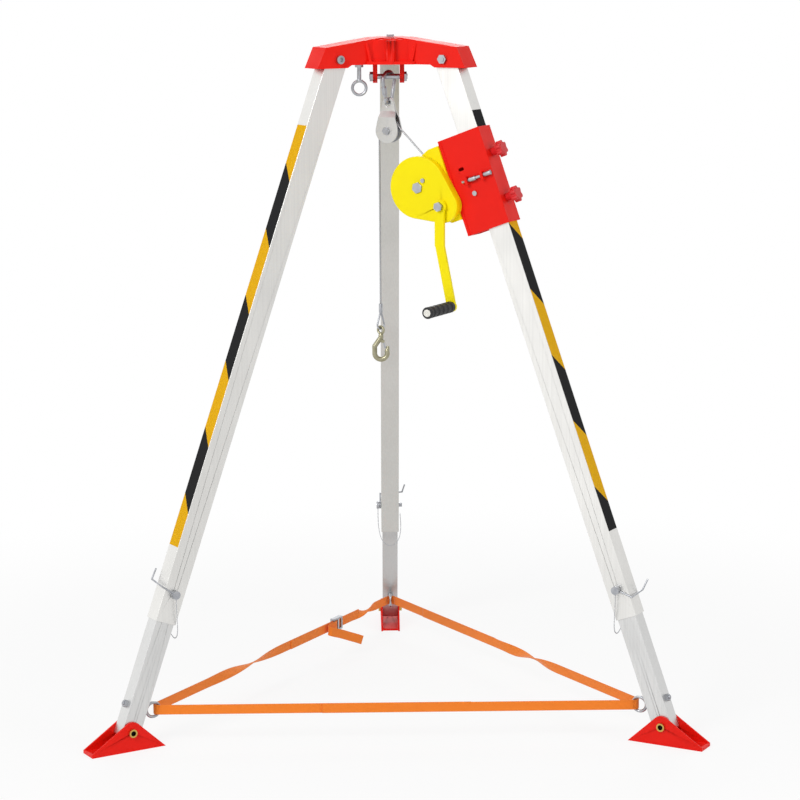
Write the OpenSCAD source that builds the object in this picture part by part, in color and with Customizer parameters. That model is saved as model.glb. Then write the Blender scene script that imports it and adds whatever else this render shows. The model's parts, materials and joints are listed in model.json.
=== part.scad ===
// Rescue tripod: three telescoping legs pinned in a cast head, a hand winch clamped to the right leg,
// a pulley hung under the head, and a strap round the feet. Millimetres, +Z up, front is -Y.

/* [Stance] */
// leg splay from the vertical, degrees
leg_angle = 20.3; // [14:0.1:26]
// head pin to foot pivot along the leg, at its shortest
leg_len = 1827; // [1600:1:2200]
// head pins from the tripod axis
pin_r = 175; // [165:1:200]
// foot pivot above the ground
foot_pivot_h = 50; // [45:1:70]

/* [Leg tubes] */
// upper tube depth, in the leg's own plane
tube_n = 60; // [54:1:64]
// upper tube width, across the leg
tube_t = 52; // [46:1:52]
// wall of both tubes
tube_wall = 3; // [2:0.5:4]
// upper tube below the head pin
upper_len = 1530; // [1490:1:1600]
// gap on each side between the two tubes
slide_gap = 0.4; // [0.3:0.1:0.8]
// lower tube inside the upper one
lower_in = 890; // [760:10:1000]
// travel of the lower tube
extend = 600; // [300:50:650]
// lock pin above the upper tube's end
lock_up = 78; // [60:1:130]
// lock pin diameter
lock_d = 12; // [10:1:14]

/* [Head] */
// plateau above the head pins
head_top = 54; // [50:1:64]
// arm end above the head pins
arm_end_top = 32; // [30:1:40]
// arm bottom below the head pins
arm_low = 22; // [18:1:28]
// arm width
arm_w = 70; // [68:1:80]
// flat web faces from the axis
web_d = 78; // [74:1:84]
// head pin bolt diameter
head_bolt_d = 14; // [12:1:16]
// hanging set from the axis, toward the right leg
hang_r = -6; // [-12:1:0]
// anchor bolt below the head pins
anchor_drop = 50; // [46:1:56]

/* [Pulley and rope] */
// sheave axle below the head pins
sheave_drop = 193; // [190:1:200]
// rope centre line on the sheave
sheave_r = 29; // [27:1:30]
// rope diameter
rope_d = 5; // [4:0.5:5]
// ferrule top below the head pins
ferrule_drop = 659; // [600:1:760]

/* [Winch] */
// drum axle below the head pin, along the leg
drum_s = 293; // [285:1:300]
// drum axle inward of the leg centre
drum_n = 173; // [169:1:177]
// direction from drum axle to crank axle, below the inward normal, degrees
crank_dir = 52.7; // [50:0.1:55]
// gear module
gear_m = 3; // [3:0.5:3]
// drum gear teeth
gear_z = 44; // [44:1:44]
// pinion teeth
pinion_z = 12; // [12:1:12]
// crank arm, upper straight part
crank_a = 100; // [80:1:120]
// crank arm, lower straight part
crank_b = 165; // [140:1:190]
// grip length
grip_len = 130; // [100:1:150]

/* [Feet and strap] */
// foot outward of its pivot
foot_out = 115; // [105:1:125]
// foot inward of its pivot
foot_in = 95; // [85:1:105]
// strap eye above the foot pivot, along the leg
ring_up = 67; // [57:1:82]
// webbing width
strap_w = 26; // [20:1:27]
// webbing thickness
strap_th = 2; // [1.5:0.1:2.5]

/* [Hidden] */
$fn = 64;

AZ = [210, 330, 90];
sa = sin(leg_angle);
ca = cos(leg_angle);
pin_z = foot_pivot_h + leg_len*ca;
foot_r = pin_r + leg_len*sa;
foot_half = 28.2;
// the front feet reach least far from the axis, so the axis stands behind the box centre
y_back = foot_r + foot_out;
y_front = -(foot_r + foot_out)/2 - foot_half*sqrt(3)/2;
axis_y = -(y_back + y_front)/2;

low_n = tube_n - 2*tube_wall - 2*slide_gap;
low_t = tube_t - 2*tube_wall - 2*slide_gap;
tube_top = 14;
lock_s = upper_len - lock_up;
ring_s = leg_len - ring_up;
low_end = leg_len + 15;

// positions in the plane of the right leg, as [from the axis, above the head pins]
function leg_rz(n, s) = [pin_r + n*ca + s*sa, n*sa - s*ca];
drum_c = leg_rz(-drum_n, drum_s);
sheave_c = [hang_r, -sheave_drop];
gear_c = gear_m*(gear_z + pinion_z)/2;
crank_n = drum_n - gear_c*cos(crank_dir);
crank_s = drum_s + gear_c*sin(crank_dir);
wind_r = 41;
span_r = wind_r + rope_d + 0.4;
drum_flange = 62;

// drawing helpers
module slab(y0, y1) translate([0, y1, 0]) rotate([90, 0, 0]) linear_extrude(y1 - y0) children();
module ycyl(x, z, r, y0, y1) translate([x, y1, z]) rotate([90, 0, 0]) cylinder(r = r, h = y1 - y0);
module xcyl(y, z, r, x0, x1) translate([x0, y, z]) rotate([0, 90, 0]) cylinder(r = r, h = x1 - x0);
module zcyl(x, y, r, z0, z1) translate([x, y, z0]) cylinder(r = r, h = z1 - z0);
module bar(p, q, r) {
  d = q - p;
  translate(p) rotate([0, acos(d[2]/norm(d)), atan2(d[1], d[0])]) cylinder(r = r, h = norm(d));
}
module ball(p, r) translate(p) sphere(r = r);
// arc of round stock in the XZ plane, from angle a0 to a1
module xz_arc(x, z, big, r, a0, a1) translate([x, 0, z]) rotate([90, 0, 0]) rotate([0, 0, a0])
  rotate_extrude(angle = a1 - a0) translate([big, 0]) circle(r = r);
module strip2d(p, q, w) {
  d = (q - p)/norm(q - p);
  v = w/2*[-d[1], d[0]];
  polygon([p + v, p - v, q - v, q + v]);
}
function hex_pts(af) = [for (k = [0:5]) af/sqrt(3)*[cos(60*k), sin(60*k)]];
module hex(af, h) linear_extrude(h) polygon(hex_pts(af));
module yhex(x, z, af, y0, y1) translate([x, y1, z]) rotate([90, 0, 0]) hex(af, y1 - y0);
module xhex(y, z, af, x0, x1) translate([x0, y, z]) rotate([0, 90, 0]) hex(af, x1 - x0);

module at_axis(a) translate([0, axis_y, 0]) rotate([0, 0, a]) translate([0, 0, pin_z]) children();
// leg frame: X out from the leg, Y across it, Z up along it, origin at the head pin
module at_leg(i) at_axis(AZ[i]) translate([pin_r, 0, 0]) rotate([0, -leg_angle, 0]) children();
module at_foot(i) at_axis(AZ[i]) translate([foot_r, 0, foot_pivot_h - pin_z]) children();

// a round tube swept along points in the XZ plane
function unit2(v) = v/norm(v);
function flat_tan(p, i) = unit2(p[min(i + 1, len(p) - 1)] - p[max(i - 1, 0)]);
module flat_tube(p, r, sides) {
  n = len(p);
  pts = [for (i = [0:n - 1]) let(t = flat_tan(p, i)) for (k = [0:sides - 1]) let(a = 360*k/sides)
    [p[i][0] - r*cos(a)*t[1], r*sin(a), p[i][1] + r*cos(a)*t[0]]];
  walls = [for (i = [0:n - 2]) for (k = [0:sides - 1]) let(k1 = (k + 1)%sides)
    each [[i*sides + k, i*sides + k1, (i + 1)*sides + k1], [i*sides + k, (i + 1)*sides + k1, (i + 1)*sides + k]]];
  ends = [[for (k = [0:sides - 1]) sides - 1 - k], [for (k = [0:sides - 1]) (n - 1)*sides + k]];
  polyhedron(points = pts, faces = concat(walls, ends), convexity = 8);
}

// Head

function top_z(r) = r < 50 ? head_top : head_top - (head_top - arm_end_top)*(r - 50)/165;
end_slope = 25/54;
module arm_profile() polygon([[0, head_top], [50, head_top], [215, arm_end_top],
  [215 + (arm_end_top + arm_low)*end_slope, -arm_low], [150, -arm_low], [138, -15], [0, -15]]);
module arm_cavity() polygon([[118, -60], [118, top_z(118) - 8], [209, top_z(209) - 8],
  [209 + (top_z(209) + 52)*end_slope, -60]]);
web_in = web_d - 10;
web_half = 56;
web_pts = [for (a = [0, 120, 240]) each [
  [cos(a)*-web_half + sin(a)*web_in, sin(a)*-web_half - cos(a)*web_in],
  [cos(a)*web_half + sin(a)*web_in, sin(a)*web_half - cos(a)*web_in]]];
roof_slope = (head_top - arm_end_top)/165;
lug_x = hang_r*cos(30);
lug_y = -hang_r/2;

module head_casting() color([0.85, 0.12, 0.1]) at_axis(0) {
  difference() {
    union() {
      for (a = AZ) rotate([0, 0, a]) slab(-arm_w/2, arm_w/2) arm_profile();
      intersection() {
        translate([0, 0, -14.6]) linear_extrude(head_top + 20) polygon(web_pts);
        translate([0, 0, -20]) cylinder(r1 = 50 + (head_top + 18.5)/roof_slope, r2 = 50, h = head_top + 18.5);
      }
      zcyl(0, 0, 50, -15, head_top);
      for (a = AZ) rotate([0, 0, a + 60]) {
        zcyl(web_d - 5, 0, 13.5, -15, head_top - 7);
        translate([web_d - 20, -62, -15]) cube([25, 124, 8]);
        for (m = [-1, 1]) translate([web_d - 18, m*53 - 3, -10]) rotate([-m*12, 0, 0]) cube([21, 6, 52]);
      }
    }
    for (a = AZ) rotate([0, 0, a]) {
      slab(-tube_t/2 - 0.5, tube_t/2 + 0.5) arm_cavity();
      ycyl(pin_r, 0, head_bolt_d/2 + 0.02, -50, 50);
    }
    zcyl(0, 0, 54, -20, 38);
    rotate([0, 0, AZ[0]]) zcyl(96, 0, 5.6, -20, 26);
    zcyl(0, 0, 5.05, 30, 60);
  }
  // splay stops, a little clear of the legs
  for (a = AZ) rotate([0, 0, a]) translate([pin_r, 0, 0]) rotate([0, -leg_angle, 0])
    translate([tube_n/2 + 0.6, -24, -20]) cube([14.4, 48, 16]);
  // anchor lugs
  for (m = [-1, 1]) difference() {
    union() {
      translate([lug_x + m*35.5 - 6, lug_y - 17, -anchor_drop]) cube([12, 34, anchor_drop + 40]);
      xcyl(lug_y, -anchor_drop, 17, lug_x + m*35.5 - 6, lug_x + m*35.5 + 6);
    }
    xcyl(lug_y, -anchor_drop, 7.02, lug_x + m*35.5 - 10, lug_x + m*35.5 + 10);
  }
}

module head_bolts() color([0.75, 0.75, 0.77]) at_axis(0) {
  for (a = AZ) rotate([0, 0, a]) difference() {
    union() {
      ycyl(pin_r, 0, head_bolt_d/2, -arm_w/2 - 10, arm_w/2 + 4);
      ycyl(pin_r, 0, 11, arm_w/2 + 0.05, arm_w/2 + 9);
      yhex(pin_r, 0, 22, -arm_w/2 - 8, -arm_w/2 - 0.05);
    }
    yhex(pin_r, 0, 11, arm_w/2 + 4.5, arm_w/2 + 12);
  }
  zcyl(0, 0, 5, 34, head_top + 4);
  translate([0, 0, head_top + 0.05]) hex(17, 6.5);
}

module anchor_bolt() color([0.75, 0.75, 0.77]) at_axis(0) {
  xcyl(lug_y, -anchor_drop, 7, lug_x - 51, lug_x + 50);
  xhex(lug_y, -anchor_drop, 22, lug_x - 50, lug_x - 41.55);
  xhex(lug_y, -anchor_drop, 22, lug_x + 41.55, lug_x + 48);
}

module eye_bolt() color([0.75, 0.75, 0.77]) at_axis(AZ[0]) translate([96, 0, 0]) rotate([0, 0, -AZ[0]]) {
  zcyl(0, 0, 5.5, -60, 25);
  translate([0, 0, -23]) hex(19, 7.95);
  zcyl(0, 0, 9, -60, -55);
  xz_arc(0, -77, 18, 4, 0, 360);
}

// Carabiner: a wide top arc, a narrow bottom arc, a spine and a gate
car_r = 5;
car_az = 50;
car_big = 24;
car_small = 13;
car_top = -anchor_drop + 7 + 0.5 + car_r - car_big;
eye_drop = 121;
eye_r = 9;
car_bot = -eye_drop + eye_r - car_r - 1.9 + car_small;
car_alpha = asin((car_big - car_small)/(car_top - car_bot));
function car_side(m, k) = let(p = [m*car_big*cos(car_alpha), car_top - car_big*sin(car_alpha)],
  q = [m*car_small*cos(car_alpha), car_bot - car_small*sin(car_alpha)]) p + k*(q - p);
function xz(p) = [p[0], 0, p[1]];
module at_hang() at_axis(AZ[1]) translate([hang_r, 0, 0]) children();
module at_carabiner() at_hang() rotate([0, 0, car_az - AZ[1]]) children();
gate_k0 = 0.14;
gate_k1 = 0.92;
gate_pivot = 0.8;

module carabiner() color([0.8, 0.8, 0.82]) at_carabiner() {
  xz_arc(0, car_top, car_big, car_r, -car_alpha, 180 + car_alpha);
  xz_arc(0, car_bot, car_small, car_r, 180 + car_alpha, 360 - car_alpha);
  bar(xz(car_side(1, -0.012)), xz(car_side(1, 1.012)), car_r - 0.05);
  bar(xz(car_side(-1, -0.012)), xz(car_side(-1, gate_k0 - 0.01)), car_r - 0.05);
  bar(xz(car_side(-1, gate_k1 + 0.01)), xz(car_side(-1, 1.012)), car_r - 0.05);
}
module carabiner_gate() color([0.7, 0.71, 0.73]) at_carabiner() {
  bar(xz(car_side(-1, gate_k0 + 0.01)), xz(car_side(-1, gate_pivot)), 4.55);
  ball(xz(car_side(-1, gate_pivot)), 4.6);
  bar(xz(car_side(-1, 0.24)), xz(car_side(-1, 0.68)), 7);
  ycyl(car_side(-1, gate_pivot)[0], car_side(-1, gate_pivot)[1], 2, -5.4, 5.4);
}

// Pulley block: two cheeks pinched together at the eye
cheek_in = 10;
cheek_r = 33;
cheek_eye_r = 16;
function tan_ang(d, r0, r1) = asin((r0 - r1)/d);
module teardrop(r0, c1, r1) {
  d = norm(c1);
  a = atan2(c1[1], c1[0]);
  b = 90 - tan_ang(d, r0, r1);
  circle(r = r0);
  translate(c1) circle(r = r1);
  // the flanks start a hair inside the circles
  q0 = r0 - 0.03;
  q1 = r1 - 0.03;
  polygon([q0*[cos(a + b), sin(a + b)], q0*[cos(a - b), sin(a - b)],
    c1 + q1*[cos(a - b), sin(a - b)], c1 + q1*[cos(a + b), sin(a + b)]]);
}
module pulley_cheeks() color([0.86, 0.86, 0.87]) at_hang() translate([0, 0, -sheave_drop])
  for (m = [0, 1]) mirror([0, m, 0]) difference() {
    intersection() {
      slab(-1, 40) teardrop(cheek_r, [0, sheave_drop - eye_drop], cheek_eye_r);
      rotate([90, 0, 90]) translate([0, 0, -50]) linear_extrude(100) polygon([
        [cheek_in, -50], [cheek_in + 4, -50], [cheek_in + 4, 36], [4.4, 52], [4.4, 100], [0.4, 100], [0.4, 51],
        [cheek_in, 34]]);
    }
    ycyl(0, 0, 6.05, -5, 40);
    ycyl(0, sheave_drop - eye_drop, eye_r, -5, 40);
  }
module sheave_axle() color([0.72, 0.72, 0.74]) at_hang() {
  ycyl(0, -sheave_drop, 6, -20, 19);
  yhex(0, -sheave_drop, 19, -19, -14.05);
  yhex(0, -sheave_drop, 19, 14.05, 18);
}
module sheave() color([0.6, 0.6, 0.62]) at_hang() translate([0, 9, -sheave_drop]) rotate([90, 0, 0])
  rotate_extrude() difference() {
    translate([6.06, 0]) square([25.94, 18]);
    translate([sheave_r + 0.15, 9]) circle(r = rope_d/2 + 0.4);
    polygon([[sheave_r + 0.15, 9 - rope_d/2 - 0.4], [40, 1.5], [40, 16.5], [sheave_r + 0.15, 9 + rope_d/2 + 0.4]]);
  }

// Rope: from the drum over the sheave, then straight down to the hook
span_v = drum_c - sheave_c;
span_m = let(v = span_v/norm(span_v), k = -(span_r - sheave_r)/norm(span_v)) k*v + sqrt(1 - k*k)*[-v[1], v[0]];
span_a = atan2(span_m[1], span_m[0]);
span_start = -95;
span_path = concat(
  [for (k = [0:14]) let(a = span_start + (span_a - span_start)*k/14) drum_c + span_r*[cos(a), sin(a)]],
  [for (k = [1:9]) (1 - k/10)*(drum_c + span_r*span_m) + k/10*(sheave_c + sheave_r*span_m)],
  [for (k = [0:12]) let(a = span_a + (180 - span_a)*k/12) sheave_c + sheave_r*[cos(a), sin(a)]]);
fall_r = hang_r - sheave_r;
module at_fall() at_axis(AZ[1]) translate([fall_r, 0, 0]) rotate([0, 0, -AZ[1]]) children();
module rope_span() color([0.45, 0.45, 0.46]) at_axis(AZ[1]) flat_tube(span_path, rope_d/2, 8);
module rope_fall() color([0.45, 0.45, 0.46]) at_fall() zcyl(0, 0, rope_d/2, -ferrule_drop + 0.05, -sheave_drop - 0.25);
// the rope's end: a ferrule, and a loop that hangs at an angle to the hook's ring
ferrule_len = 24;
loop_r = 11.5;
loop_az = 38;
loop_apex = -ferrule_drop - ferrule_len + 2;
thimble_z = loop_apex - 35;
loop_a = asin(loop_r/35);
module rope_end() color([0.7, 0.7, 0.72]) at_fall() {
  zcyl(0, 0, 5, -ferrule_drop - ferrule_len, -ferrule_drop);
  rotate([0, 0, loop_az]) {
    xz_arc(0, thimble_z, loop_r, rope_d/2, 180 - loop_a, 360 + loop_a);
    for (m = [-1, 1]) bar([m*1.2, 0, loop_apex - 1],
      [m*(loop_r*cos(loop_a) + 0.2*sin(loop_a)), 0, thimble_z + loop_r*sin(loop_a) - 0.8], rope_d/2 - 0.05);
  }
}
ring_r = 9.5;
ring_stock = 3.4;
hook_eye_z = thimble_z - loop_r + rope_d/2 + ring_stock + 0.3 - ring_r;
hook_c = hook_eye_z - 63;
hook_bowl = 17;
hook_stock = 6.8;
latch_p = [6, hook_eye_z - 30.5];
latch_q = [11.2, hook_c + 14.5];
module hook() color([0.78, 0.78, 0.8]) at_fall() {
  rotate([0, 0, -loop_az]) xz_arc(0, hook_eye_z, ring_r, ring_stock, 0, 360);
  translate([0, 0, hook_eye_z - 14.5]) cylinder(r1 = hook_stock - 0.1, r2 = 4.2, h = 6.5);
  zcyl(0, 0, hook_stock - 0.05, hook_eye_z - 20, hook_eye_z - 14);
  ball([0, 0, hook_eye_z - 20], hook_stock);
  bar([0, 0, hook_eye_z - 20], [-hook_bowl, 0, hook_eye_z - 44], hook_stock - 0.05);
  ball([-hook_bowl, 0, hook_eye_z - 44], hook_stock);
  bar([-hook_bowl, 0, hook_eye_z - 44], [-hook_bowl, 0, hook_c - 0.8], hook_stock - 0.05);
  xz_arc(0, hook_c, hook_bowl, hook_stock, 180, 375);
  translate(hook_bowl*[cos(14), 0, sin(14)] + [0, 0, hook_c]) {
    sphere(r = hook_stock + 0.04);
    rotate([0, 10, 0]) cylinder(r1 = hook_stock - 0.05, r2 = 4, h = 15);
  }
  // ears and pin that carry the latch
  for (m = [0, 1]) mirror([0, m, 0]) slab(4.2, 6) {
    translate(latch_p) circle(r = 4);
    strip2d([-5, hook_eye_z - 26.5], latch_p, 8);
  }
  ycyl(latch_p[0], latch_p[1], 1.6, -6, 6);
}
module hook_latch() color([0.7, 0.7, 0.72]) at_fall() difference() {
  slab(-4, 4) {
    translate(latch_p) circle(r = 3.1);
    strip2d(latch_p, latch_q, 4.4);
  }
  ycyl(latch_p[0], latch_p[1], 1.66, -6, 6);
}

// Legs

module upper_tube(i) color([0.82, 0.83, 0.84]) at_leg(i) difference() {
  translate([-tube_n/2, -tube_t/2, -upper_len]) cube([tube_n, tube_t, upper_len + tube_top]);
  translate([-tube_n/2 + tube_wall, -tube_t/2 + tube_wall, -upper_len - 5])
    cube([tube_n - 2*tube_wall, tube_t - 2*tube_wall, upper_len + tube_top + 10]);
  ycyl(0, 0, head_bolt_d/2 + 0.08, -50, 50);
  ycyl(0, -lock_s, lock_d/2 + 0.08, -50, 50);
}
module lower_tube(i) color([0.86, 0.87, 0.88]) at_leg(i) difference() {
  translate([-low_n/2, -low_t/2, -low_end]) cube([low_n, low_t, low_end - upper_len + lower_in]);
  translate([-low_n/2 + tube_wall, -low_t/2 + tube_wall, -low_end - 5])
    cube([low_n - 2*tube_wall, low_t - 2*tube_wall, low_end - upper_len + lower_in + 10]);
  // a row of lock holes, joined so that the lower tube can pass the pin
  translate([-lock_d/2 - 0.3, -40, -lock_s]) cube([lock_d + 0.6, 80, extend]);
  for (k = [0:100:extend]) ycyl(0, -lock_s + k, lock_d/2 + 0.3, -40, 40);
  for (k = [100:100:extend - 50]) ycyl(0, -lock_s + k, lock_d/2 + 2.5, -40, 40);
  ycyl(0, -leg_len, 6.08, -40, 40);
  xcyl(0, -ring_s, 5.05, -50, 50);
}

// the right leg's lock pin is fitted from the other side
module lock_side(i) mirror([0, i == 1 ? 1 : 0, 0]) children();
module lock_pin(i) color([0.78, 0.78, 0.8]) at_leg(i) lock_side(i) {
  ycyl(0, -lock_s, lock_d/2, -36, 35);
  ycyl(0, -lock_s, 11, 31.4, 40);
}
bail_out = 46;
bail_r = 2.4;
bail_up = [16, -38, 16];
module pin_bail(i) color([0.7, 0.7, 0.72]) at_leg(i) lock_side(i) translate([0, 28.8, -lock_s])
  rotate([0, -bail_up[i], 0]) {
    xz_arc(0, 0, lock_d/2 + bail_r + 0.3, bail_r, 0, 360);
    bar([lock_d/2 + 2, 0, 0], [bail_out, 0, 0], bail_r - 0.1);
    ball([bail_out, 0, 0], bail_r);
    bar([bail_out, 0, 0], [bail_out, -66, 6], bail_r - 0.1);
    ball([bail_out, -66, 6], bail_r);
    bar([bail_out, -66, 6], [bail_out + 2, -73, 36], bail_r - 0.1);
  }
// lanyard points from the lock pin, as [out from the axis, across, up]: a loop under the leg to a rivet
lanyard_pts = [[0, 36, -11.4], [0, 36, -28], [-1, 35.5, -46], [-2, 34.5, -64], [-4, 32, -82], [-6, 27.5, -99],
  [-8, 19, -114], [-9, 8, -122], [-9, 0, -123.5], [-9, -8, -122], [-8, -19, -114], [-6, -27.5, -99],
  [-4, -31, -82], [-2.5, -32, -64], [-1, -31.5, -46], [0.5, -30.5, -33], [0.8, -30, -26]];
lock_rz = leg_rz(0, lock_s);
function along(p, i) = let(d = p[min(i + 1, len(p) - 1)] - p[max(i - 1, 0)]) d/norm(d);
module lanyard(i) color([0.5, 0.5, 0.52]) at_axis(AZ[i]) translate([lock_rz[0], 0, lock_rz[1]]) lock_side(i) {
  sides = 8;
  n = len(lanyard_pts);
  pts = [for (j = [0:n - 1]) let(t = along(lanyard_pts, j), u = cross(t, [1, 0, 0]), v = cross(u, t))
    for (k = [0:sides - 1]) let(a = 360*k/sides) lanyard_pts[j] + 1.4*(cos(a)*u/norm(u) + sin(a)*v/norm(v))];
  walls = [for (j = [0:n - 2]) for (k = [0:sides - 1]) let(k1 = (k + 1)%sides)
    each [[j*sides + k, j*sides + k1, (j + 1)*sides + k1], [j*sides + k, (j + 1)*sides + k1, (j + 1)*sides + k]]];
  ends = [[for (k = [0:sides - 1]) sides - 1 - k], [for (k = [0:sides - 1]) (n - 1)*sides + k]];
  polyhedron(points = pts, faces = concat(walls, ends), convexity = 8);
  ycyl(0.8, -25.3, 3.2, -32.5, -tube_t/2 - 0.05);
}

// Strap eyes and webbing
eye_big = 19;
eye_n = -low_n/2 - 27;
eye_rz = leg_rz(eye_n, ring_s);
module strap_eye(i) color([0.72, 0.72, 0.74]) at_leg(i) translate([0, 0, -ring_s]) {
  xcyl(0, 0, 5, -low_n/2 - 9, low_n/2 + 12);
  xcyl(0, 0, 8, -low_n/2 - 8, -low_n/2 - 0.05);
  xhex(0, 0, 17, low_n/2 + 0.05, low_n/2 + 9);
  xz_arc(eye_n, 0, eye_big, 4, 0, 360);
}
strap_c = eye_rz[0] - 17;
strap_z = eye_rz[1];
strap_rho = 12;
strap_step = strap_th + 0.3;
run_len = strap_c*sqrt(3);
run_more = extend*sa*sqrt(3) + 30;
back_arm = 560;
// webbing lengths from each leg: toward the next leg anticlockwise, then toward the other
ccw_arm = [(run_len + run_more)/2, run_len + run_more - back_arm, back_arm];
cw_arm = [run_len + run_more - back_arm, (run_len + run_more)/2, back_arm];
module strap(i) color([1, 0.54, 0.18]) at_axis(AZ[i]) translate([strap_c, 0, strap_z - strap_w/2]) {
  rotate([0, 0, -60]) rotate_extrude(angle = 120)
    translate([strap_rho - strap_th/2, 0]) square([strap_th + strap_step, strap_w]);
  rotate([0, 0, 150]) translate([0, -strap_rho - strap_th/2, 0]) cube([ccw_arm[i], strap_th, strap_w]);
  rotate([0, 0, 210]) translate([0, strap_rho + strap_step - strap_th/2, 0]) cube([cw_arm[i], strap_th, strap_w]);
}
buckle_at = 300;
module strap_buckle() color([0.8, 0.8, 0.82]) at_axis(AZ[2]) translate([strap_c, 0, strap_z])
  rotate([0, 0, 150]) translate([buckle_at, -strap_rho, 0]) difference() {
    translate([-24, -9, -19]) cube([48, 14, 38]);
    translate([-30, -strap_th/2 - strap_step - 0.6, -14]) cube([60, strap_th + strap_step + 0.75, 28]);
    translate([-16, -20, -14]) cube([12, 40, 28]);
    translate([4, -20, -14]) cube([12, 40, 28]);
  }

// Feet
foot_top = 28;
function touch(p, r, m) = let(d = norm(p), a = atan2(p[1], p[0]) + m*acos(r/d)) r*[cos(a), sin(a)];
foot_low = -foot_pivot_h;
module cheek2d() {
  circle(r = foot_top);
  polygon([[-foot_in, foot_low], [foot_out, foot_low], [foot_out, foot_low + 9],
    touch([foot_out, foot_low + 9], foot_top, 1), touch([-foot_in, foot_low], foot_top, -1)]);
}
module foot(i) color([0.85, 0.12, 0.1]) at_foot(i) difference() {
  union() {
    for (m = [0, 1]) mirror([0, m, 0]) slab(foot_half - 5, foot_half) cheek2d();
    translate([-foot_in + 9, -foot_half, foot_low]) cube([foot_in + foot_out - 9, 2*foot_half, 6]);
    translate([foot_out - 6, -foot_half, foot_low]) cube([6, 2*foot_half, 9]);
  }
  ycyl(0, 0, 6.02, -40, 40);
  zcyl(foot_out - 18, 0, 5.5, foot_low - 5, foot_low + 20);
}
module foot_bolt(i) color([0.72, 0.72, 0.74]) at_foot(i) lock_side(i) difference() {
  union() {
    ycyl(0, 0, 6, -foot_half - 8, foot_half + 1);
    ycyl(0, 0, 11, foot_half + 0.05, foot_half + 7);
    yhex(0, 0, 18, -foot_half - 7.5, -foot_half - 0.05);
  }
  ycyl(0, 0, 6.8, foot_half + 1.5, foot_half + 10);
}

// Winch. In the leg frame its axles run along Y; the side toward -Y faces the front.
module at_drum() at_leg(1) translate([-drum_n, 0, -drum_s]) children();
module at_crank() at_leg(1) translate([-crank_n, 0, -crank_s]) children();
brk_s0 = 196;
brk_s1 = 456;
brk_in = tube_t/2 + 0.2;
brk_out = brk_in + 7;
brk_base = 83 - drum_n;
lug_x0 = [-44, 4];
plunge_s = 319;
plunge_y = -brk_out - 7.5;
stud = [-32, 356];
knob_s = [268, 392];
base_bolts = [[-17, 232], [17, 232], [-17, 392], [17, 392]];
module winch_bracket() color([0.88, 0.14, 0.11]) at_leg(1) difference() {
  union() {
    for (m = [0, 1]) mirror([0, m, 0]) translate([brk_base, brk_in, -brk_s1])
      cube([tube_n/2 + 6.2 - brk_base, 7, brk_s1 - brk_s0]);
    translate([tube_n/2 + 0.2, -brk_out, -brk_s1]) cube([6, 2*brk_out, brk_s1 - brk_s0]);
    translate([brk_base, -brk_out, -brk_s1]) cube([6, 2*brk_out, brk_s1 - brk_s0]);
    for (s = [brk_s0 + 28, brk_s1]) translate([-tube_n/2 - 8.2, -brk_out + 0.5, -s + 0.5])
      cube([8, 2*brk_out - 1, 27]);
    translate([brk_base + 0.5, -brk_out - 2.6, -brk_s1 + 0.5]) cube([7, 4.6, brk_s1 - brk_s0 - 1]);
    for (x = lug_x0) translate([x, -brk_out - 15, -plunge_s - 11]) cube([8, 16, 22]);
  }
  for (s = knob_s) xcyl(0, -s, 6.06, 20, 50);
  xcyl(plunge_y, -plunge_s, 4.08, -78, 60);
  for (x = [-54, -50, -46]) ycyl(x, -plunge_s + 34, 4.5, -60, -20);
  ycyl(stud[0], -stud[1], 3.06, -60, -20);
  for (b = base_bolts) xcyl(b[0], -b[1], 4.05, brk_base - 5, brk_base + 12);
}
module clamp_knob(s) color([0.8, 0.1, 0.09]) at_leg(1) translate([0, 0, -s]) {
  xcyl(0, 0, 6, tube_n/2 + 0.15, 46);
  xcyl(0, 0, 11, tube_n/2 + 6.8, 58);
  xcyl(0, 0, 16, 56, 72);
  for (k = [0:5]) rotate([60*k + 7, 0, 0]) xcyl(0, 15.4, 6, 56.6, 71.4);
}
module plunger() color([0.78, 0.78, 0.8]) at_leg(1) {
  xcyl(plunge_y, -plunge_s, 4, -54, 30);
  xcyl(plunge_y, -plunge_s, 6.2, 14, 34);
  xcyl(plunge_y, -plunge_s, 6.2, -32, -12);
}

cover_r0 = 82;
cover_r1 = 45;
crank_v = gear_c*[cos(crank_dir), -sin(crank_dir)];
plate_pts = [[brk_base + drum_n - 0.2, 86], [brk_base + drum_n - 0.2, -116], [brk_base + drum_n - 30, -116],
  [-20, -60], [-20, 60], [brk_base + drum_n - 30, 86]];
module winch_frame() color([0.95, 0.85, 0.05]) at_drum() difference() {
  union() {
    slab(-41, -36) {
      teardrop(cover_r0, crank_v, cover_r1);
      polygon(plate_pts);
    }
    slab(46, 51) {
      teardrop(40, crank_v, 30);
      polygon(plate_pts);
    }
    translate([brk_base + drum_n - 5.2, -41, -116]) cube([5, 92, 202]);
  }
  ycyl(0, 0, 17, -60, 0);
  ycyl(0, 0, 10.06, 0, 60);
  ycyl(crank_v[0], crank_v[1], 8.06, -60, 60);
  translate([drum_n, 0, drum_s]) for (b = base_bolts) xcyl(b[0], -b[1], 4.05, brk_base - 12, brk_base + 12);
}
module gear_cover() color([0.98, 0.9, 0.05]) at_drum() difference() {
  slab(-64, -41.05) teardrop(cover_r0, crank_v, cover_r1);
  slab(-61, -30) teardrop(cover_r0 - 3, crank_v, cover_r1 - 3);
  ycyl(0, 0, 10.06, -80, -50);
  ycyl(crank_v[0], crank_v[1], 8.4, -80, -50);
}
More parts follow.
